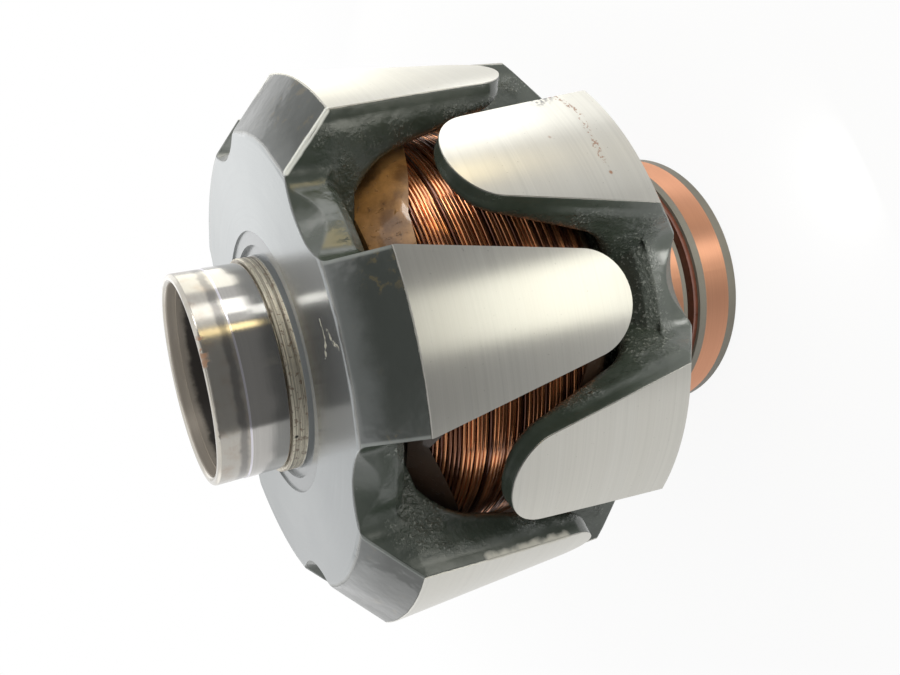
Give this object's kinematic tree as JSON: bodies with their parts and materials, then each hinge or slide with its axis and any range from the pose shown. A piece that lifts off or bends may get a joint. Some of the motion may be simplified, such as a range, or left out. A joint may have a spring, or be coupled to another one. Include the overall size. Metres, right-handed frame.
{
  "type": "alternator rotor",
  "caption": "Claw-pole alternator rotor with interlocking tapered fingers over a copper field coil, a hollow ground hub and two copper slip rings.",
  "frame": {"origin": "on the rotor axis, in the plane of the slip ring end that it stands on", "axes": "+Z along the rotor axis towards the hub, +X through the middle of a front finger"},
  "size_m": [0.0736, 0.0736, 0.0765],
  "materials": {
    "hub_shaft": "ground journal, turned bore, light rust at the rim",
    "front_claw_pole": "turned outside and face, dark green-black lacquer in the valleys and on the flanks",
    "rear_claw_pole": "turned outside and face, dark green-black lacquer in the valleys and on the flanks",
    "pole_core": "turned steel",
    "core_insulating_sleeve": "varnished insulating paper",
    "field_winding": "enamelled copper wire, brown varnish",
    "front_coil_insulator": "amber varnished insulating paper",
    "rear_coil_insulator": "amber varnished insulating paper",
    "inner_ring_lead": "enamelled copper wire",
    "outer_ring_lead": "enamelled copper wire",
    "inner_lead_sleeve": "varnished woven sleeving",
    "outer_lead_sleeve": "varnished woven sleeving",
    "slip_ring_bush": "turned steel",
    "inner_ring_carrier": "grey thermoset moulding",
    "outer_ring_carrier": "grey thermoset moulding",
    "ring_separator_disc": "brown varnished laminate",
    "inner_slip_ring": "copper, polished by the brushes",
    "outer_slip_ring": "copper, polished by the brushes",
    "inner_ring_terminal": "copper strip",
    "outer_ring_terminal": "copper strip",
    "inner_solder_joint": "dull tin solder",
    "outer_solder_joint": "dull tin solder"
  },
  "bodies": {
    "root": {"hub_shaft": "hub_shaft", "front_claw_pole": "front_claw_pole", "rear_claw_pole": "rear_claw_pole", "pole_core": "pole_core", "core_insulating_sleeve": "core_insulating_sleeve", "field_winding": "field_winding", "front_coil_insulator": "front_coil_insulator", "rear_coil_insulator": "rear_coil_insulator", "inner_ring_lead": "inner_ring_lead", "outer_ring_lead": "outer_ring_lead", "inner_lead_sleeve": "inner_lead_sleeve", "outer_lead_sleeve": "outer_lead_sleeve", "slip_ring_bush": "slip_ring_bush", "inner_ring_carrier": "inner_ring_carrier", "outer_ring_carrier": "outer_ring_carrier", "ring_separator_disc": "ring_separator_disc", "inner_slip_ring": "inner_slip_ring", "outer_slip_ring": "outer_slip_ring", "inner_ring_terminal": "inner_ring_terminal", "outer_ring_terminal": "outer_ring_terminal", "inner_solder_joint": "inner_solder_joint", "outer_solder_joint": "outer_solder_joint"}
  },
  "joints": []
}
